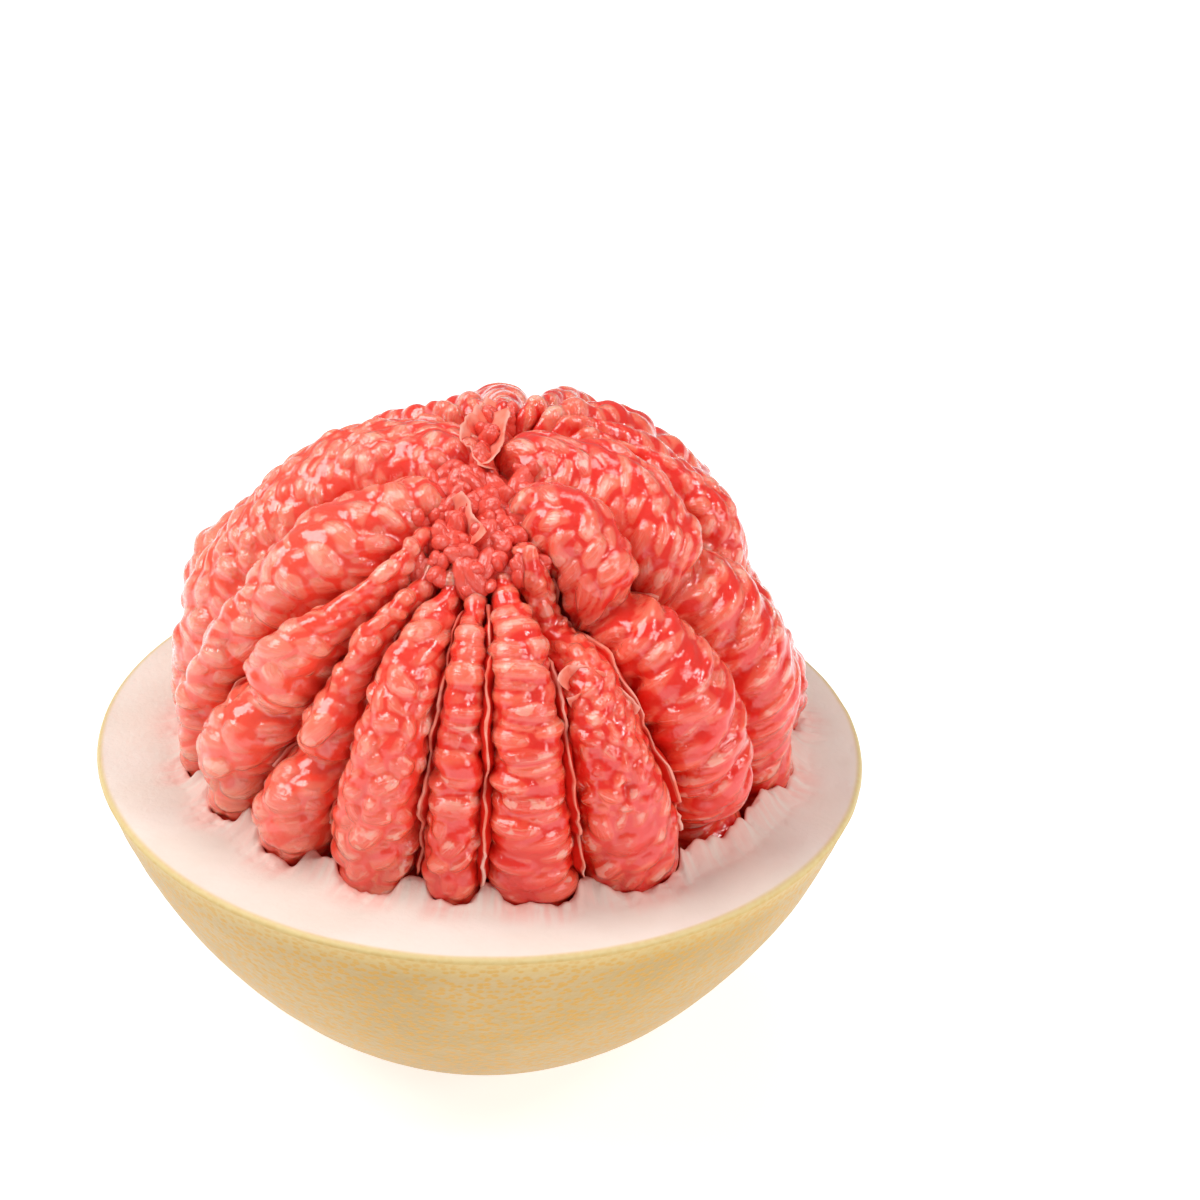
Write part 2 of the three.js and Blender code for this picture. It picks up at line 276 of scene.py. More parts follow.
# Half the thickness of torn skin, the share of it along a wall's edge as its mean and swing, and half the thickness
# of a wall's foot in the groove.
WALL_HALF_THICKNESS = 0.16
WALL_EDGE_MEAN = 1.5
WALL_EDGE_SWING = 0.9
WALL_HALF_FOOT = 1.3
WALL_ROWS = 110
WALL_COLUMNS = 16
STRIP_TEAR = 1.4
STRIP_ROWS = 60
STRIP_COLUMNS = 12

# Rind: vertices around and rings, how far its torn inner edge may reach in from the cavity and how far it runs in
# under the flesh, the band about the cut in which the flesh's reach is read, and its rounded edges.
RIND_AROUND = 720
RIND_RINGS = dict(skin=60, rim=44, cavity=14)
RIND_REACH_IN = 4
RIND_CLEAR = -0.4
RIM_BAND = 1.5
OUTER_ROUND = 1.1
INNER_ROUND = 0.3
# Distance from an edge that stands for nowhere near it.
FAR = 99.0


# Noise

NOISE_TABLE = np.random.default_rng(SEED).uniform(-1, 1, 4096)
NOISE_HASH = np.array([73856093, 19349663, 83492791])


def noise(points, size, seed=0):
    """Smooth noise from -1 to 1 at each place, with features about size across."""
    place = np.asarray(points, float) / size + 31.7 * seed
    cell = np.floor(place).astype(np.int64)
    part = place - cell
    part = part * part * (3 - 2 * part)
    total = np.zeros(place.shape[:-1])
    for corner in np.ndindex(2, 2, 2):
        mixed = np.bitwise_xor.reduce((cell + corner) * NOISE_HASH, axis=-1)
        weight = np.prod(np.where(corner, part, 1 - part), axis=-1)
        total += weight * NOISE_TABLE[mixed % len(NOISE_TABLE)]
    return total


def layered_noise(points, size, layers=3, seed=0):
    return sum(noise(points, size / 2**k, seed + k) / 2**k for k in range(layers))


def smoothstep(value, low, high):
    t = np.clip((value - low) / (high - low), 0, 1)
    return t * t * (3 - 2 * t)


# The flesh's shape, by the part's own rule


def cut_height(x):
    return CUT_HEIGHT - CUT_SLOPE * x


def skin_radius(height):
    part = np.abs((height - SKIN_EQUATOR_HEIGHT) / SKIN_DEPTH) ** SKIN_POWER
    return SKIN_EQUATOR_RADIUS * np.maximum(0, 1 - part) ** (1 / SKIN_POWER)


RIND_AXIS = (skin_radius(cut_height(-RIM_RADIUS)) - skin_radius(cut_height(RIM_RADIUS))) / 2
FLESH_CENTRE = np.array([RIND_AXIS + FLESH_OFF_RIND[0], FLESH_OFF_RIND[1], CUT_HEIGHT + FLESH_OFF_RIND[2]])


def unit(vector):
    return vector / np.linalg.norm(vector, axis=-1, keepdims=True)


FLESH_AXIS = unit(np.array([-math.tan(LEAN_LEFT), -math.tan(LEAN_FRONT), 1]))
FRONT = np.array([0, -1, 0])
FLESH_FRONT = unit(FRONT - FLESH_AXIS * (FRONT @ FLESH_AXIS))
FLESH_RIGHT = np.cross(FLESH_AXIS, FLESH_FRONT)


def along_latitudes(values, angle):
    """Smooth curve through the values given at LATITUDES, level beyond both ends."""
    values = np.array(values, float)
    slope = np.zeros(len(values))
    slope[1:-1] = (values[2:] - values[:-2]) / (LATITUDES[2:] - LATITUDES[:-2])
    angle = np.clip(angle, LATITUDES[0], LATITUDES[-1])
    i = np.clip(np.searchsorted(LATITUDES, angle, side="right") - 1, 0, len(LATITUDES) - 2)
    span = LATITUDES[i + 1] - LATITUDES[i]
    t = (angle - LATITUDES[i]) / span
    start = values[i] * (1 + 2 * t) * (1 - t) ** 2 + slope[i] * span * t * (1 - t) ** 2
    return start + values[i + 1] * t * t * (3 - 2 * t) + slope[i + 1] * span * t * t * (t - 1)


def boundary(b, angle):
    """Longitude of the boundary before segment b, in degrees from the front towards +X."""
    front = len(FRONT_BOUNDARIES) - 1
    if b <= front:
        return along_latitudes(FRONT_BOUNDARIES[b], angle)
    right = along_latitudes(FRONT_BOUNDARIES[front], angle)
    left = along_latitudes(FRONT_BOUNDARIES[0], angle) + 360
    return right + (b - front) * (left - right) / BACK_SEGMENTS


def back_of(segment):
    """The angle where a segment starts, how squarely its back is rounded, and its bulges and creases."""
    k = segment - len(FRONT_BACKS)
    if k < 0:
        return FRONT_BACKS[segment]
    third = k % 3
    swells = [
        (at + sway * math.sin(turn * k + start), height + more * third, reach)
        for at, sway, turn, start, height, more, reach in BACK_SWELLS
    ]
    return BACK_TOP, BACK_POWER[0] + BACK_POWER[1] * third, swells + BACK_DENTS.get(segment, [])


def flesh_direction(angle, longitude):
    t, p = np.broadcast_arrays(np.radians(angle), np.radians(longitude))
    across = np.sin(t)[..., None]
    return (
        np.cos(t)[..., None] * FLESH_AXIS
        + across * np.cos(p)[..., None] * FLESH_FRONT
        + across * np.sin(p)[..., None] * FLESH_RIGHT
    )


def ball_radius(direction):
    """Distance from the flesh's centre to the ball that the segments fill."""
    vertical = np.where(direction[..., 2] > 0, FLESH_UP, FLESH_DOWN)
    return 1 / np.sqrt((direction[..., :2] ** 2).sum(-1) / FLESH_RADIUS**2 + (direction[..., 2] / vertical) ** 2)


def rim_angle(longitude):
    """Angle from the top at which a longitude passes the rim."""
    angle = 60
    while True:
        direction = flesh_direction(angle, longitude)
        point = direction * ball_radius(direction) + FLESH_CENTRE
        if point[2] <= cut_height(point[0]):
            return angle
        angle += 0.5


def swell(segment, angle, rim):
    """Height of a segment's back over the ball, faded out where it dips below the rim."""
    total = sum(height * np.exp(-(((angle - at) / reach) ** 2)) for at, height, reach in back_of(segment)[2])
    shown = smoothstep(rim - angle, -1, 6)
    return -TOP_DIP * np.exp(-((angle / TOP_DIP_REACH) ** 2)) + np.where(total > 0, total * shown, total)


def middle_of(segment, angle):
    return (boundary(segment, angle) + boundary(segment + 1, angle)) / 2


# Meshes


def make_object(name, points_mm, faces, attributes, material):
    """Mesh object from points in millimetres. attributes maps a name to one value or vector for each point."""
    mesh = bpy.data.meshes.new(name)
    mesh.from_pydata((points_mm * MM).tolist(), [], faces)
    for key, values in attributes.items():
        kind = "FLOAT" if values.ndim == 1 else "FLOAT_VECTOR"
        layer = mesh.attributes.new(key, kind, "POINT")
        layer.data.foreach_set("value" if values.ndim == 1 else "vector", values.astype(np.float32).ravel())
    mesh.shade_smooth()
    mesh.materials.append(material)
    piece = bpy.data.objects.new(name, mesh)
    bpy.context.collection.objects.link(piece)
    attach(piece, "root")
    return piece


def tube_faces(rings, around, first=0):
    """Quads between rings of vertices that each close on themselves."""
    ring = np.arange(rings - 1)[:, None] * around + first
    step = np.arange(around)[None, :]
    after = (step + 1) % around
    quads = np.stack([ring + step, ring + around + step, ring + around + after, ring + after], axis=-1)
    return quads.reshape(-1, 4).tolist()


def capped_tube(grid):
    """Points and faces of a closed surface from a (rings, around, 3) grid whose first and last ring are points."""
    rings, around = grid.shape[:2]
    inner = grid[1:-1].reshape(-1, 3)
    points = np.vstack([grid[0, 0], inner, grid[-1, 0]])
    faces = tube_faces(rings - 2, around, first=1)
    last = len(points) - 1
    base = last - around
    for i in range(around):
        after = (i + 1) % around
        faces.append([0, 1 + i, 1 + after])
        faces.append([last, base + after, base + i])
    return points, faces


def per_point(values):
    """The same picking for an attribute as capped_tube does for places."""
    rest = values.shape[2:]
    return np.concatenate([values[0, :1], values[1:-1].reshape(-1, *rest), values[-1, :1]])


def grid_normals(grid):
    """Unit normals of a grid that closes round its second axis, pointing away from the rings' middles."""
    down = np.gradient(grid, axis=0)
    wrapped = np.concatenate([grid[:, -1:], grid, grid[:, :1]], axis=1)
    across = (wrapped[:, 2:] - wrapped[:, :-2]) / 2
    normal = np.cross(down, across)
    length = np.linalg.norm(normal, axis=-1, keepdims=True)
    normal = normal / np.maximum(length, 1e-9)
    outward = grid - grid.mean(axis=1, keepdims=True)
    if (normal * outward).sum() < 0:
        normal = -normal
    return normal


# Juice segments


def segment_grid(segment, step):
    """The smooth body of a segment: places (rings, around, 3), and how far down and across each one lies."""
    top, power, _ = back_of(segment)
    rim = rim_angle(middle_of(segment, 90))
    shown_end = rim + math.degrees(SAC_BELOW_RIM / FLESH_RADIUS)
    shown = np.arange(top, shown_end, math.degrees(step / FLESH_RADIUS))
    hidden = np.linspace(shown_end, BOTTOM_END, HIDDEN_RINGS)
    angle = np.concatenate([shown, hidden])[:, None]
    middle = middle_of(segment, angle)
    half = np.radians(boundary(segment + 1, angle) - boundary(segment, angle)) / 2
    sine = np.sin(np.radians(angle))

    ridge_direction = flesh_direction(angle[:, 0], middle[:, 0])
    outer = (ball_radius(ridge_direction) + swell(segment, angle[:, 0], rim))[:, None]
    ridge = ridge_direction * outer
    outer = outer + BODY_LUMP * noise(ridge, BODY_LUMP_SIZE, segment)[:, None] * smoothstep(rim - angle, -4, 8)
    inner = np.minimum(CORE_RADIUS / sine, CORE_SHARE * outer)
    from_end = np.clip(np.minimum(angle - top, BOTTOM_END - angle) / END_ROUND, 0, 1)
    size = np.sqrt(1 - (1 - from_end) ** 2)

    # A fine half section, from the ridge (share 1) to the core (share 0), then the same re-spaced by its length.
    rounded_share = np.cos(np.linspace(0, math.pi / 2, SECTION_SAMPLES[0])) ** (2 / power)
    share = np.unique(np.concatenate([rounded_share, np.linspace(0, 1, SECTION_SAMPLES[1])]))[::-1]
    inset = TOP_INSET + (SEGMENT_INSET - TOP_INSET) * smoothstep(angle - top, *CROWDED_OVER)
    along = inner + (TIP_SHARE + (share - TIP_SHARE) * size) * (outer - inner)
    wedge = np.maximum(THINNEST_EDGE, along * sine * np.tan(half) - inset)
    width = size * wedge * np.sqrt(np.maximum(0, 1 - share**power))
    length = np.cumsum(np.hypot(np.diff(along, prepend=along[:, :1]), np.diff(width, prepend=0)), axis=1)

    fine_steps = int(FINE_ACROSS / step)
    half_grid = np.empty((len(angle), fine_steps + COARSE_STEPS + 1, 3))
    across = np.empty(half_grid.shape[:2])
    for i in range(len(angle)):
        depth_at = np.interp(SAC_DEPTH, along[i, 0] - along[i], length[i])
        targets = np.concatenate([
            np.linspace(0, depth_at, fine_steps + 1)[:-1],
            np.linspace(depth_at, length[i, -1], COARSE_STEPS + 1),
        ])
        across[i] = targets
        half_grid[i, :, 0] = np.interp(targets, length[i], along[i])
        half_grid[i, :, 1] = np.interp(targets, length[i], width[i])
    shift = np.degrees(np.arctan(half_grid[..., 1] / (half_grid[..., 0] * sine)))
    right = flesh_direction(angle, middle + shift) * half_grid[..., :1]
    left = flesh_direction(angle, middle - shift) * half_grid[..., :1]
    grid = np.concatenate([right, left[:, :0:-1]], axis=1) + FLESH_CENTRE
    for end in (0, -1):
        grid[end] = grid[end].mean(axis=0)
    across = np.concatenate([across, -across[:, :0:-1]], axis=1)
    down = np.concatenate([[0], np.cumsum(np.linalg.norm(np.diff(ridge, axis=0), axis=1))])
    return grid, down, across, angle[:, 0], rim


def place_sacs(segment, down, angle, half_width, foot, rng):
    """Sacs in staggered rows down a segment: (down, across, turn, half length, half width, height, tint, foot)."""
    sacs = []
    row = 0
    at = SAC_STARTS[SAC_LAYERS.index(foot)]
    while at < down[-1]:
        here = np.interp(at, down, angle)
        style = STYLES[[name for start, name in SEGMENT_STYLES[segment] if start <= here][-1]]
        reach = np.interp(at, down, half_width) + SAC_DEPTH
        columns = np.arange(-math.ceil(reach / style["across"]), math.ceil(reach / style["across"]) + 1)
        offset = style["across"] * (0.5 * (row % 2) + rng.uniform(-0.12, 0.12))
        for column in columns:
            across = column * style["across"] + offset + rng.normal(0, 0.08 * style["across"])
            size = rng.uniform(0.82, 1.18)
            sacs.append((
                at + rng.normal(0, 0.13 * style["down"]) + 0.02 * abs(across),
                across,
                math.radians(style["turn"] + rng.normal(0, 1) * style["vary"]),
                style["long"] * size * rng.uniform(0.9, 1.15),
                style["wide"] * size * rng.uniform(0.92, 1.12),
                style["high"] * rng.uniform(0.75, 1.2),
                rng.uniform(0, 1),
                foot,
            ))
        at += style["down"] * rng.uniform(0.9, 1.1)
        row += 1
    return sacs


def sac_profile(inside):
    """Height over a sac's foot as a share of its own: round on top, and running on down past its edge."""
    root = math.sqrt(SAC_SOFT)
    return np.where(inside > 0, np.sqrt(np.maximum(inside, 0) + SAC_SOFT) - root, inside / (2 * root))


def neighbours(values):
    """Mean of the four values next to each one in a grid."""
    return sum(np.roll(values, step, axis) for axis in (0, 1) for step in (-1, 1)) / 4


def raise_sacs(down, across, sacs):
    """Outer envelope of the sacs over the body, how near each place is to a crease, each sac's tint and own axes, and
    where a place and its neighbours are on the same sac."""
    first = np.full(across.shape, SAC_LAYERS[-1])
    second = first.copy()
    tint = np.zeros(across.shape)
    own = np.zeros((*across.shape, 3))
    owner = np.full(across.shape, -1)
    for i, (at, centre, turn, long, wide, high, shade, foot) in enumerate(sacs):
        reach = max(long * abs(math.sin(turn)), wide) + wide
        rows = slice(*np.searchsorted(down, [at - reach, at + reach]))
        if rows.start == rows.stop:
            continue
        ds = down[rows, None] - at
        dw = across[rows] - centre
        u = dw * math.cos(turn) + ds * math.sin(turn)
        v = ds * math.cos(turn) - dw * math.sin(turn)
        inside = 1 - np.abs(u / long) ** 2.3 - (v / wide) ** 2
        height = foot + high * sac_profile(inside)
        wins = height > first[rows]
        second[rows] = np.maximum(second[rows], np.minimum(first[rows], height))
        first[rows] = np.where(wins, height, first[rows])
        tint[rows] = np.where(wins, shade, tint[rows])
        own[rows] = np.where(wins[..., None], np.stack([u, v, np.full(u.shape, 50 * shade)], axis=-1), own[rows])
        owner[rows] = np.where(wins, i, owner[rows])
    same = np.ones(across.shape)
    for axis in (0, 1):
        differs = owner != np.roll(owner, 1, axis)
        same[differs | np.roll(differs, -1, axis)] = 0
    gap = first - second
    height = first + 0.5 * CREASE_ROUND * np.exp(-gap / CREASE_ROUND)
    for _ in range(3):
        height = np.where(same > 0, height, 0.3 * height + 0.7 * neighbours(height))
    crease = np.exp(-gap / CREASE_REACH)
    for _ in range(2):
        crease = 0.5 * crease + 0.5 * neighbours(crease)
    return 0.7 * height + 0.3 * neighbours(height), crease, tint, own, same


def juice_segment(segment, material):
    rng = np.random.default_rng([SEED, segment])
    step = FINE_STEP if segment <= len(FRONT_BACKS) else BACK_STEP
    grid, down, across, angle, rim = segment_grid(segment, step)
    ridge_width = np.linalg.norm(grid[:, len(grid[0]) // 5] - grid[:, -len(grid[0]) // 5], axis=1) / 2
    sacs = [sac for foot in SAC_LAYERS for sac in place_sacs(segment, down, angle, ridge_width, foot, rng)]
    height, crease, tint, own, same = raise_sacs(down, across, sacs)

    shown = smoothstep(rim + 8 - angle, 0, 6)[:, None]
    side = 1 - 0.4 * smoothstep(np.abs(across), 12, 24)
    tip = smoothstep(down, 0, 6)[:, None]
    wrinkle = 0.12 * layered_noise(grid, 2.2, 2, 40 + segment)
    grid = grid + grid_normals(grid) * ((height + wrinkle) * shown * side * tip)[..., None]

    points, faces = capped_tube(grid)
    attributes = {
        "crease": per_point(crease * shown),
        # Where the surface sinks below the segment's body between the sacs, which the flesh material paints dark red
        # as shade.
        "low": per_point(smoothstep(-height, 0.0, 1.4) * shown),
        "tint": per_point(tint),
        "own": per_point(own),
        "same": per_point(same),
    }
    name = f"segment_{segment + 1:02d}"
    piece = make_object(f"juice_{name}", points, faces, attributes, material)
    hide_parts(name)
    return points


# Walls between the segments


def wall_skin(b, material):
    """A thin torn skin on the boundary before segment b, in the groove where the part has its wall."""
    before = (b - 1) % SEGMENT_COUNT
    rim = rim_angle(boundary(b, 90))
    top = max(back_of(before)[0], back_of(b)[0]) + WALL_BELOW_TOP
    angle = np.linspace(top, WALL_BOTTOM, WALL_ROWS)[:, None]
    sine = np.sin(np.radians(angle))
    middle = flesh_direction(angle[:, 0], boundary(b, angle)[:, 0])
    ball = ball_radius(middle)[:, None]
    lower = np.minimum(np.minimum(swell(before, angle, rim), swell(b, angle, rim)), 0)
    torn = WALL_TEAR * layered_noise(middle * ball, 5, 3, 80 + b)[:, None]
    torn = torn + WALL_FRAY * noise(middle * ball, 1.4, 160 + b)[:, None]
    merged = WALL_MERGE * smoothstep(angle, rim - 7, rim)
    outer = ball + lower - WALL_INSETS.get(b, WALL_INSET) + np.minimum(torn, 0.6) - merged
    inner = (CORE_RADIUS + WALL_CORE_GAP) / sine
    share = 1 - np.linspace(1, 0, WALL_COLUMNS) ** 2
    along = inner + np.maximum(outer - inner, 1) * share
    depth = along[:, -1:] - along
    foot = smoothstep(depth, 0.4, 3.0) * smoothstep(depth, 22, 14)
    thin = WALL_HALF_THICKNESS * (WALL_EDGE_MEAN + WALL_EDGE_SWING * noise(middle * ball, 4, 140 + b)[:, None])
    half = thin + (WALL_HALF_FOOT - thin) * foot
    wave = WALL_WAVE * layered_noise(middle[:, None] * along[..., None], 5, 3, 120 + b)

    def side(offset):
        turn = np.degrees((wave + offset) / (along * sine))
        return flesh_direction(angle, boundary(b, angle) + turn) * along[..., None]

    grid = np.concatenate([side(-half), side(half)[:, ::-1]], axis=1) + FLESH_CENTRE
    for end in (0, -1):
        grid[end] = grid[end].mean(axis=0)
    points, faces = capped_tube(grid)
    # Near the torn edge the skin is pink; away from it the wall material paints it dark red as shade.
    near_edge = 1 - smoothstep(depth, 0.1, 1.3)
    edge = np.concatenate([near_edge, near_edge[:, ::-1]], axis=1)
    low = np.broadcast_to(smoothstep(angle, rim - 25, rim), grid.shape[:2])
    name = f"wall_{b + 1:02d}"
    piece = make_object(f"torn_{name}", points, faces, {"edge": per_point(edge), "low": per_point(low)}, material)
    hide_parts(name)


def torn_strip(name, path, inset, height, wave, lean, material):
    """A narrow strip of torn skin that stands on edge, or leans over, along a path over the flesh."""
    path = np.array(path, float)
    at = np.linspace(0, 1, STRIP_ROWS)
    known = np.linspace(0, 1, len(path))
    angle = np.interp(at, known, path[:, 0])
    longitude = np.interp(at, known, path[:, 1])
    outward = flesh_direction(angle, longitude)
    edge = outward * ball_radius(outward)[:, None]
    along = unit(np.gradient(edge, axis=0))
    aside = unit(np.cross(along, outward))
    seed = sum(map(ord, name))
    taper = np.sqrt(np.sin(math.pi * np.clip(at, 0.02, 0.98)))
    torn = STRIP_TEAR * layered_noise(edge, 3.5, 3, seed)
    share = np.linspace(0, 1, STRIP_COLUMNS)
    depth = inset + np.maximum(-torn, -0.5)[:, None] + share * (height * taper)[:, None]
    sheet = edge[:, None] - outward[:, None] * depth[..., None]
    bend = wave * noise(sheet, 4, seed + 9) + 0.5 * wave * noise(sheet, 1.6, seed + 10) + lean * share

    def side(offset):
        return sheet + aside[:, None] * (bend + offset)[..., None]

    grid = np.concatenate([side(-WALL_HALF_THICKNESS), side(WALL_HALF_THICKNESS)[:, ::-1]], axis=1) + FLESH_CENTRE
    for end in (0, -1):
        grid[end] = grid[end].mean(axis=0)
    points, faces = capped_tube(grid)
    # Paler at the strip's top edge; lower down the wall material paints it dark red as shade.
    paler = 1 - 0.6 * share
    edge = np.broadcast_to(np.concatenate([paler, paler[::-1]]), grid.shape[:2])
    attributes = {"edge": per_point(edge), "low": per_point(np.full(grid.shape[:2], 0.3))}
    make_object(name, points, faces, attributes, material)


def crown_bed(material):
    """A lumpy pad of flesh that closes the hollow at the crown, under the loose sacs."""
    over = np.linspace(0, BED_ANGLE, BED_RINGS[0])
    under = np.linspace(BED_ANGLE, 0, BED_RINGS[1])
    angle = np.concatenate([over, under])[:, None]
    top = np.arange(len(angle))[:, None] < len(over)
    drop = BED_DROP * smoothstep(angle, BED_DROP_FROM, BED_ANGLE)
    depth = BED_DEPTH + drop + np.where(top, 0, BED_THICKNESS)
    outward = flesh_direction(angle, np.linspace(0, 360, BED_AROUND, endpoint=False)[None, :])
    places = outward * (ball_radius(outward) - depth)[..., None]
    lumps = BED_LUMP * layered_noise(places, BED_LUMP_SIZE, 2, 300)
    grid = places + outward * (lumps * top)[..., None] + FLESH_CENTRE
    for end in (0, -1):
        grid[end] = grid[end].mean(axis=0)
    points, faces = capped_tube(grid)
    none = np.zeros(len(points))
    # low at 1 paints the whole bed dark red, as shade under the loose sacs.
    attributes = {"crease": none + 0.4, "low": none + 1, "tint": none, "own": points, "same": none + 1}
    make_object("crown_bed", points, faces, attributes, material)


def loose_sacs(material):
    """Small sacs heaped at the crown and behind it, each a rounded spindle lying roughly outward."""
    rng = np.random.default_rng([SEED, 999])
    t = np.linspace(0, math.pi, LOOSE_RINGS)[:, None]
    p = np.linspace(0, 2 * math.pi, LOOSE_AROUND, endpoint=False)[None, :]
    ball = np.stack([np.sin(t) * np.cos(p), np.sin(t) * np.sin(p), np.cos(t) + 0 * p], axis=-1)
    ball_points, ball_faces = capped_tube(ball)
    points, faces, tints, owns = [], [], [], []
    for count, angles, longitudes, depths, shade in LOOSE_SACS:
        for _ in range(count):
            outward = flesh_direction(rng.uniform(*angles), rng.uniform(*longitudes))
            place = outward * (ball_radius(outward) - rng.uniform(*depths)) + FLESH_CENTRE
            long_axis = unit(outward + rng.normal(0, 0.7, 3))
            first = unit(np.cross(long_axis, rng.normal(0, 1, 3)))
            axes = np.stack([first, np.cross(long_axis, first), long_axis])
            size = rng.uniform(0.7, 1.15) * np.array([LOOSE_WIDE, LOOSE_WIDE * 0.8, LOOSE_LONG])
            base = len(points) * len(ball_points)
            faces += [[base + corner for corner in face] for face in ball_faces]
            points.append((ball_points * size) @ axes + place)
            tints.append(np.full(len(ball_points), np.clip(shade + rng.normal(0, 0.2), 0, 1)))
            owns.append((ball_points * size)[:, [2, 0, 1]])
    points = np.vstack(points)
    none = np.zeros(len(points))
    tint = np.concatenate(tints)
    # low paints the loose sacs largely dark red, as shade in the hollow.
    attributes = {"crease": none + 0.3, "low": none + 0.75, "tint": tint, "own": np.vstack(owns), "same": none + 1}
    make_object("loose_sacs", points, faces, attributes, material)


# Rind


def rested(height):
    """Lifts the round underside to 0 with a soft edge, which leaves the flat spot."""
    soft = (np.clip(height, -REST_BLEND, REST_BLEND) + REST_BLEND) ** 2 / (4 * REST_BLEND)
    return np.where(height >= REST_BLEND, height, soft)


def skin_places(share, x, y):
    edge = cut_height(x * RIM_RADIUS)
    lowest = SKIN_EQUATOR_HEIGHT - SKIN_DEPTH
    height = lowest + (edge - lowest) * share**SKIN_SPACING
    radius = skin_radius(height)
    return np.stack([RIND_AXIS + x * radius, y * radius, rested(height)], axis=-1)


def cavity_turn(x):
    """Angle below the level of the flesh's middle at which the cavity meets the cut."""
    return np.arcsin((FLESH_CENTRE[2] - cut_height(FLESH_CENTRE[0] + x * FLESH_RADIUS)) / (FLESH_DOWN + CAVITY_GAP))


def cavity_places(share, x, y, stretch):
    at_rim = cavity_turn(x)
    turn = at_rim + (math.pi / 2 - at_rim) * share
    radius = (FLESH_RADIUS + CAVITY_GAP) * np.cos(turn) * stretch
    height = -(FLESH_DOWN + CAVITY_GAP) * np.sin(turn)
    return np.stack([x * radius, y * radius, height], axis=-1) + FLESH_CENTRE


def even_shares(count):
    """Shares that space the skin's rings evenly from the middle of the underside to the rim."""
    fine = np.linspace(0, 1, 600)
    profile = skin_places(fine, np.zeros(600), np.ones(600))
    length = np.concatenate([[0], np.cumsum(np.linalg.norm(np.diff(profile, axis=0), axis=1))])
    return np.interp(np.linspace(0, length[-1], count + 1), length, fine)


def flesh_reach(points):
    """How far the flesh reaches out from its axis at the height of the rim, all round."""
    points = np.vstack(points)
    near = np.abs(points[:, 2] - cut_height(points[:, 0])) < RIM_BAND
    offset = points[near, :2] - FLESH_CENTRE[:2]
    turn = np.arctan2(-offset[:, 1], offset[:, 0]) / (2 * math.pi) % 1
    reach = np.zeros(RIND_AROUND)
    np.maximum.at(reach, (turn * RIND_AROUND).astype(int) % RIND_AROUND, np.linalg.norm(offset, axis=1))
    wide = np.max([np.roll(reach, k) for k in (-1, 0, 1)], axis=0)
    return np.mean([np.roll(wide, k) for k in (-1, 0, 1)], axis=0)


def rounded(distance, radius):
    """Drop of a rounded edge at a distance in from it."""
    return radius * (1 - np.sqrt(1 - (1 - np.clip(distance / radius, 0, 1)) ** 2))


def rim_rise(rim, rays, from_out, from_in, groove):
    """Height of the torn pith over a smooth rim, lumpier towards the flesh and climbing between the segments."""
    waves = 0.25 * noise(rim, 8, 210) * smoothstep(from_out, 0, 3)
    fibres = 0.30 * noise(rays, 2.4, 211) * smoothstep(from_in, 13, 2)
    fluff = (0.5 + 0.8 * layered_noise(rim, 2.6, 3, 212)) * smoothstep(from_in, 4, 0.3)
    crumbs = 0.35 * noise(rim, 1.3, 214) * smoothstep(from_in, 8, 1)
    climb = 3.0 * groove * smoothstep(from_in, 6, 0) * (1 + 0.5 * noise(rays, 3.0, 213))
    return waves + fibres + fluff + crumbs + climb


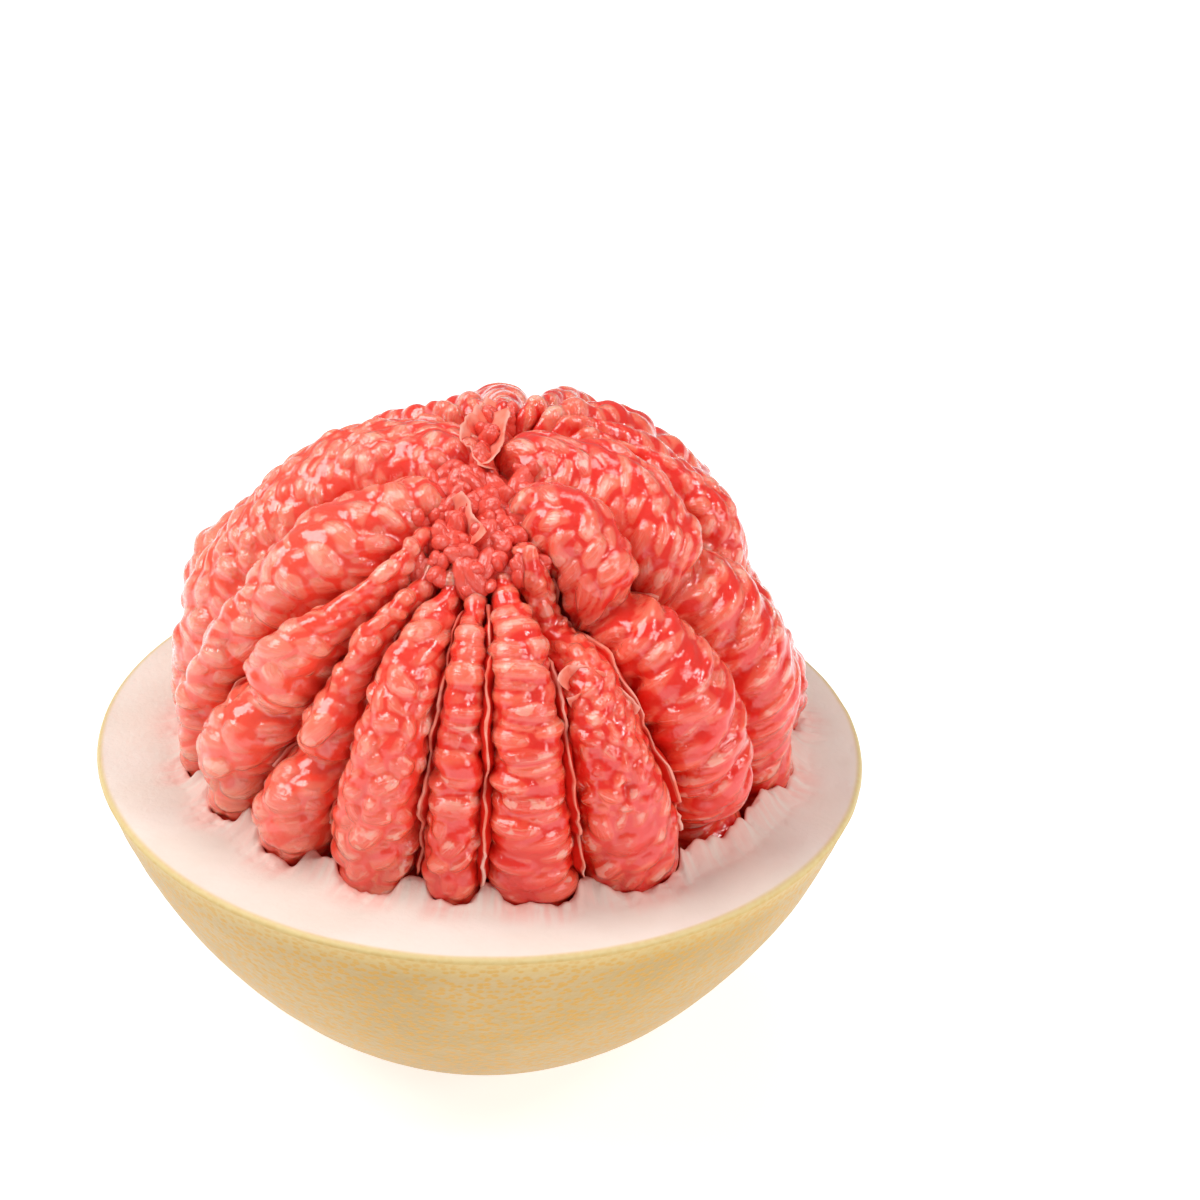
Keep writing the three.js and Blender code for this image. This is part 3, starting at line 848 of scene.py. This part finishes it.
def rind_half(flesh_points, material):
    """The opened rind: skin outside, the cut and torn rim, and the cavity under the flesh."""
    turn = np.linspace(0, 2 * math.pi, RIND_AROUND, endpoint=False)[None, :]
    x, y = np.cos(turn), -np.sin(turn)
    cavity_edge = (FLESH_RADIUS + CAVITY_GAP) * np.cos(cavity_turn(x))
    reach = np.maximum(flesh_reach(flesh_points)[None, :] + RIND_CLEAR, cavity_edge - RIND_REACH_IN)
    groove = smoothstep(cavity_edge - reach, 0.5, RIND_REACH_IN)

    skin = skin_places(even_shares(RIND_RINGS["skin"])[:, None], x, y)
    lumps = 0.3 * noise(skin, 14, 200) + 0.1 * noise(skin, 3.5, 201)
    away = unit(skin * [1, 1, 0] - [RIND_AXIS, 0, 0] + [0, 0, 1e-6])
    lumps = lumps * smoothstep(skin[..., 2], 6, 20) * smoothstep(CUT_HEIGHT - skin[..., 2], 0, 4)
    skin = skin + away * lumps[..., None]

    t = np.linspace(0, 1, RIND_RINGS["rim"] + 1)[:, None]
    share = (t + 0.5 - 0.5 * np.cos(math.pi * t)) / 2
    outer = skin[-1][None]
    inner = cavity_places(0, x, y, reach / cavity_edge)
    rim = outer + (inner - outer) * share[..., None]
    width = np.linalg.norm(inner - outer, axis=-1)
    from_out = width * share
    from_in = width - from_out
    rays = np.stack([x * RIM_RADIUS + 0 * share, y * RIM_RADIUS + 0 * share, 0.16 * from_in], axis=-1)
    rise = rim_rise(rim, rays, from_out, from_in, groove)
    rim[..., 2] += rise - rounded(from_out, OUTER_ROUND) - rounded(from_in, INNER_ROUND)

    down = np.linspace(0, 1, RIND_RINGS["cavity"] + 1)[1:, None] ** 1.5
    cavity = cavity_places(down, x, y, 1 + (reach / cavity_edge - 1) * smoothstep(-down, -0.12, 0))
    skin[-1, :, 2] -= OUTER_ROUND
    grid = np.concatenate([skin, rim[1:], cavity])
    for end in (0, -1):
        grid[end] = grid[end].mean(axis=0)

    outside = np.ones(skin.shape[:2])
    hidden = np.zeros(cavity.shape[:2])
    below = CUT_HEIGHT - skin[..., 2] - CUT_SLOPE * skin[..., 0]
    attributes = {
        "skin": np.concatenate([outside, 1 - smoothstep(from_out[1:], 0.2, 1.6), hidden]),
        "from_edge": np.concatenate([below, from_out[1:], hidden + FAR]),
        "from_flesh": np.concatenate([outside * FAR, from_in[1:], hidden]),
        "rays": np.concatenate([skin, rays[1:], cavity]),
    }
    points, faces = capped_tube(grid)
    attributes = {key: per_point(values) for key, values in attributes.items()}
    piece = make_object("opened_rind", points, faces, attributes, material)
    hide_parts("rind_half")


# Materials


class Nodes:
    """A material's nodes, added and joined in short calls."""

    def __init__(self, name):
        self.material = bpy.data.materials.new(name)
        self.material.use_nodes = True
        self.tree = self.material.node_tree
        self.shader = self.tree.nodes["Principled BSDF"]

    def add(self, kind, inputs=None, **settings):
        node = self.tree.nodes.new(kind)
        for key, value in settings.items():
            setattr(node, key, value)
        for key, value in (inputs or {}).items():
            self.set(node, key, value)
        return node

    def set(self, node, key, value):
        if isinstance(value, bpy.types.NodeSocket):
            self.tree.links.new(value, node.inputs[key])
        else:
            node.inputs[key].default_value = value

    def attribute(self, name, output="Fac"):
        return self.add("ShaderNodeAttribute", attribute_name=name).outputs[output]

    def place(self):
        return self.add("ShaderNodeTexCoord").outputs["Object"]

    def noise(self, vector, scale, detail=3, roughness=0.55):
        values = {"Vector": vector, "Scale": scale, "Detail": detail, "Roughness": roughness}
        return self.add("ShaderNodeTexNoise", values).outputs["Fac"]

    def range(self, value, low, high, to_low=0.0, to_high=1.0):
        values = {"Value": value, "From Min": low, "From Max": high, "To Min": to_low, "To Max": to_high}
        return self.add("ShaderNodeMapRange", values, interpolation_type="SMOOTHSTEP").outputs["Result"]

    def math(self, operation, a, b):
        return self.add("ShaderNodeMath", {0: a, 1: b}, operation=operation).outputs[0]

    def mix(self, factor, a, b):
        node = self.add("ShaderNodeMix", data_type="RGBA")
        self.set(node, 0, factor)
        self.set(node, 6, a)
        self.set(node, 7, b)
        return node.outputs[2]

    def stretch(self, vector, scale):
        values = {0: vector, 1: scale}
        return self.add("ShaderNodeVectorMath", values, operation="MULTIPLY").outputs[0]

    def bump(self, height, distance, strength=1.0, normal=None):
        values = {"Height": height, "Distance": distance, "Strength": strength}
        if normal is not None:
            values["Normal"] = normal
        return self.add("ShaderNodeBump", values).outputs["Normal"]

    def finish(self, **values):
        for key, value in values.items():
            self.set(self.shader, key.replace("_", " "), value)
        return self.material


def flesh_material(name, translucency):
    """Wet sacs, with pale vein streaks along them that are partly painted highlight, painted highlight patches on
    their tops, painted light towards the left and the top, and dark red painted as shade in the creases and low
    places between them.
    """
    n = Nodes(name)
    place = n.place()
    crease = n.attribute("crease")
    tint = n.attribute("tint")
    own = n.attribute("own", "Vector")

    inside = n.math("MULTIPLY", n.range(crease, 0.60, 0.20), n.attribute("same"))
    base = n.mix(n.range(tint, 0, 1), SAC_RED, SAC_CORAL)
    base = n.mix(n.range(n.noise(place, 60), 0.38, 0.66), base, SAC_MOTTLE)
    # Pale streaks along each sac: partly the sacs' own vein lines, partly painted highlight.
    veins_and_painted_highlight = n.range(n.noise(n.stretch(own, (0.16, 1.1, 1.0)), 1.0, 3), 0.52, 0.70, 0, 0.5)
    base = n.mix(n.math("MULTIPLY", veins_and_painted_highlight, inside), base, SAC_VEIN_AND_HIGHLIGHT)
    # Painted highlight: pale patches on the sacs' tops, away from the creases, standing in for reflections of the
    # softboxes.
    painted_highlight = n.math("MULTIPLY", n.range(crease, 0.38, 0.14), n.range(n.noise(place, 240, 2), 0.50, 0.57, 0, 0.62))
    base = n.mix(painted_highlight, base, SAC_PAINTED_HIGHLIGHT)
    parts = n.add("ShaderNodeSeparateXYZ", {"Vector": place}).outputs
    # Painted light: the flesh is made paler towards the left and the top, where the key light falls.
    left = n.range(parts["X"], 0.01, -0.06)
    base = n.mix(n.math("MULTIPLY", left, 0.42), base, SAC_PAINTED_LIGHT)
    base = n.mix(n.range(parts["Z"], 0.085, 0.125, 0, 0.25), base, SAC_PAINTED_LIGHT)
    # Painted shade: dark red in the creases and low places between the sacs, lighter towards the key-lit left.
    painted_crease_shade = n.mix(left, CREASE_PAINTED_SHADE, CREASE_PAINTED_SHADE_LIT)
    base = n.mix(n.range(crease, 0.42, 0.68, 0, 0.88), base, painted_crease_shade)
    base = n.mix(n.range(n.attribute("low"), 0.25, 0.95, 0, 0.8), base, painted_crease_shade)

    wrinkles = n.math("MULTIPLY", n.noise(n.stretch(own, (0.35, 1.4, 1.0)), 1.3, 3), inside)
    normal = n.bump(wrinkles, 0.0007, 0.5)
    normal = n.bump(n.noise(place, 600, 3), 0.0005, 0.4, normal)
    return n.finish(
        Base_Color=base,
        Roughness=n.range(n.noise(place, 160), 0.3, 0.7, 0.14, 0.30),
        IOR=1.45,
        Specular_IOR_Level=0.2,
        Subsurface_Weight=translucency,
        Subsurface_Radius=(1.0, 0.20, 0.10),
        Subsurface_Scale=0.0045,
        Coat_Weight=1.0,
        Coat_IOR=1.65,
        Coat_Roughness=0.08,
        Normal=normal,
        Coat_Normal=normal,
    )


def rind_material():
    """White pith, pink where it held the flesh, and pored yellow skin outside."""
    n = Nodes("pith_and_skin")
    place = n.place()
    on_skin = n.attribute("skin")
    from_edge = n.attribute("from_edge")
    from_flesh = n.attribute("from_flesh")
    rays = n.attribute("rays", "Vector")

    ray = n.noise(rays, 0.42, 4)
    pith = n.mix(n.range(n.noise(place, 55), 0.35, 0.7), *PITH_WHITES)
    blush = n.math("MULTIPLY", n.range(from_flesh, 9, 1.2), n.range(ray, 0.30, 0.62, 0.25, 0.95))
    pith = n.mix(blush, pith, PITH_BLUSH)
    pith = n.mix(n.range(from_flesh, 1.4, 0.1, 0, 0.7), pith, PITH_AT_FLESH)
    pith = n.mix(n.range(from_edge, 1.8, 0.2, 0, 0.7), pith, PITH_AT_SKIN)

    cells = {"Vector": n.stretch(place, (1, 1, 1.4)), "Scale": 580.0, "Randomness": 0.8}
    pore = n.add("ShaderNodeTexVoronoi", cells)
    dots = n.range(pore.outputs["Distance"], 0.60, 0.30)
    skin = n.mix(n.range(n.noise(place, 26), 0.35, 0.68), *SKIN_YELLOWS)
    skin = n.mix(n.range(from_edge, 8.0, 0.5, 0, 0.75), skin, SKIN_NEAR_RIM)
    skin = n.mix(n.math("MULTIPLY", dots, n.range(from_edge, 0.5, 6.0, 0.3, 0.75)), skin, SKIN_PORE)
    skin = n.mix(n.range(from_edge, 1.2, 0.1, 0, 0.5), skin, SKIN_EDGE)

    fluff = n.bump(n.noise(place, 700, 4), 0.0006, 0.4)
    pores = n.bump(dots, 0.0002, n.math("MULTIPLY", on_skin, -0.25), fluff)
    return n.finish(
        Base_Color=n.mix(on_skin, pith, skin),
        Roughness=n.range(on_skin, 0, 1, 0.72, 0.40),
        IOR=1.42,
        Specular_IOR_Level=0.35,
        Normal=pores,
    )


def wall_material():
    """Thin damp skin, painted dark red as shade down in the groove, pink along its edge and whiter there near the
    rind.
    """
    n = Nodes("segment_skin")
    place = n.place()
    edge = n.math("MULTIPLY", n.attribute("edge"), n.range(n.noise(place, 110, 3), 0.36, 0.58, 0.45, 1.0))
    base = n.mix(n.range(n.noise(place, 180), 0.3, 0.7), *WALL_PINKS)
    # Painted shade: dark red away from the torn edge, down in the groove.
    base = n.mix(n.range(edge, 0.15, 0.6), WALL_GROOVE_SHADE, base)
    pale = n.math("MULTIPLY", n.range(edge, 0.80, 1.0), n.range(n.attribute("low"), 0, 1, 0.35, 1.0))
    base = n.mix(pale, base, WALL_PALE)
    return n.finish(
        Base_Color=base,
        Roughness=n.range(n.noise(place, 240), 0.3, 0.7, 0.28, 0.45),
        IOR=1.4,
        Specular_IOR_Level=0.3,
        Normal=n.bump(n.noise(place, 420, 3), 0.0003, 0.4),
    )


# Scene


def add_camera():
    data = bpy.data.cameras.new("camera")
    data.sensor_width = SENSOR_MM
    data.lens = LENS_MM
    camera = bpy.data.objects.new("camera", data)
    back = CAMERA_DISTANCE_MM * math.cos(CAMERA_ELEVATION)
    up = RIM_HEIGHT_MM + CAMERA_DISTANCE_MM * math.sin(CAMERA_ELEVATION)
    camera.location = Vector((0, -back, up)) * MM
    camera.rotation_euler = (math.pi / 2 - CAMERA_ELEVATION + CAMERA_TILT, 0, -CAMERA_TURN)
    bpy.context.collection.objects.link(camera)
    bpy.context.scene.camera = camera


def add_lights():
    target = Vector((0, 0, RIM_HEIGHT_MM * MM))
    for name, (offset, size, power) in SOFTBOXES.items():
        data = bpy.data.lights.new(name, "AREA")
        data.shape = "SQUARE"
        data.size = size
        data.energy = power
        light = bpy.data.objects.new(name, data)
        light.location = target + Vector(offset)
        light.rotation_euler = (-Vector(offset)).to_track_quat("-Z", "Y").to_euler()
        bpy.context.collection.objects.link(light)
    world = bpy.data.worlds.new("studio")
    world.use_nodes = True
    background = world.node_tree.nodes["Background"]
    background.inputs["Color"].default_value = (1, 1, 1, 1)
    background.inputs["Strength"].default_value = WORLD_STRENGTH
    bpy.context.scene.world = world
    bpy.context.scene.view_settings.view_transform = "Standard"


def add_floor():
    mesh = bpy.data.meshes.new("floor")
    corners = [(x * FLOOR_HALF, y * FLOOR_HALF, 0) for x, y in ((-1, -1), (1, -1), (1, 1), (-1, 1))]
    mesh.from_pydata(corners, [], [(0, 1, 2, 3)])
    n = Nodes("floor_paper")
    grain = n.noise(n.place(), 4)
    paper = n.mix(grain, *FLOOR_GREYS)
    glow = {"Emission_Color": (1, 1, 1, 1), "Emission_Strength": FLOOR_GLOW}
    mesh.materials.append(n.finish(Base_Color=paper, Roughness=0.9, **glow))
    floor = bpy.data.objects.new("floor", mesh)
    bpy.context.collection.objects.link(floor)


add_camera()
add_lights()
add_floor()
flesh = flesh_material("juice_sacs", 0.8)
small_flesh = flesh_material("loose_juice_sacs", 0.0)
segment_points = [juice_segment(i, flesh) for i in range(SEGMENT_COUNT)]
skins = wall_material()
for i in range(SEGMENT_COUNT):
    wall_skin(i, skins)
for name, strip in STRIPS.items():
    torn_strip(name, *strip, skins)
crown_bed(small_flesh)
loose_sacs(small_flesh)
rind_half(segment_points, rind_material())
